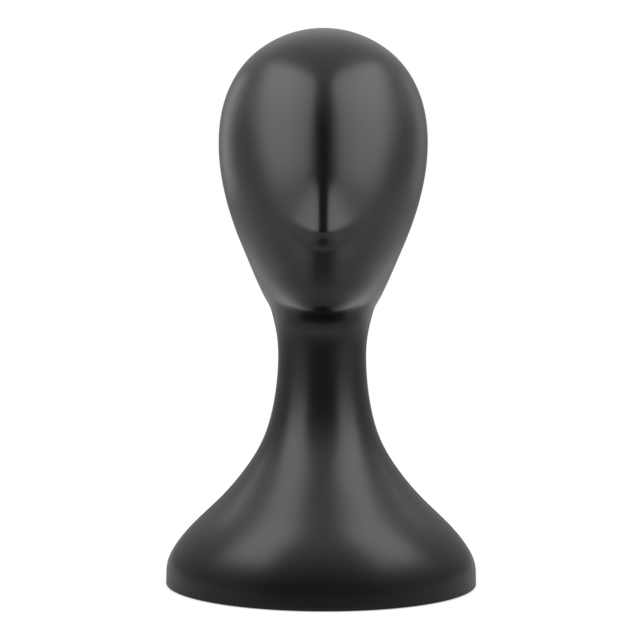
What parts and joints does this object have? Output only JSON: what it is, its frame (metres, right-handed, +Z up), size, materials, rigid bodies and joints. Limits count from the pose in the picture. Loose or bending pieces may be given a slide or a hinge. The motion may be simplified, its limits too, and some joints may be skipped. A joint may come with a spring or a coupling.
{
  "type": "wig display head",
  "caption": "Abstract display head for wigs: smooth egg-shaped head with a soft nose, long neck and broad oval weighted base.",
  "frame": {"origin": "on the resting plane, under the middle of the oval base", "axes": "+Z up through the crown, -Y the way the face looks, +X towards the viewer's right when the face is seen from the front"},
  "size_m": [0.223, 0.2058, 0.398],
  "materials": {
    "shell": "satin",
    "plate": "grained",
    "pads": "matte",
    "ballast": "as cast",
    "fasteners": "zinc plated"
  },
  "bodies": {
    "root": {"front_shell": "shell", "rear_shell": "shell", "screw_blocks": "shell", "base_plate": "plate", "base_screws": "fasteners", "foot_pads": "pads", "ballast_weight": "ballast", "ballast_bolt": "fasteners", "ballast_washer": "fasteners", "ballast_nut": "fasteners"}
  },
  "joints": []
}
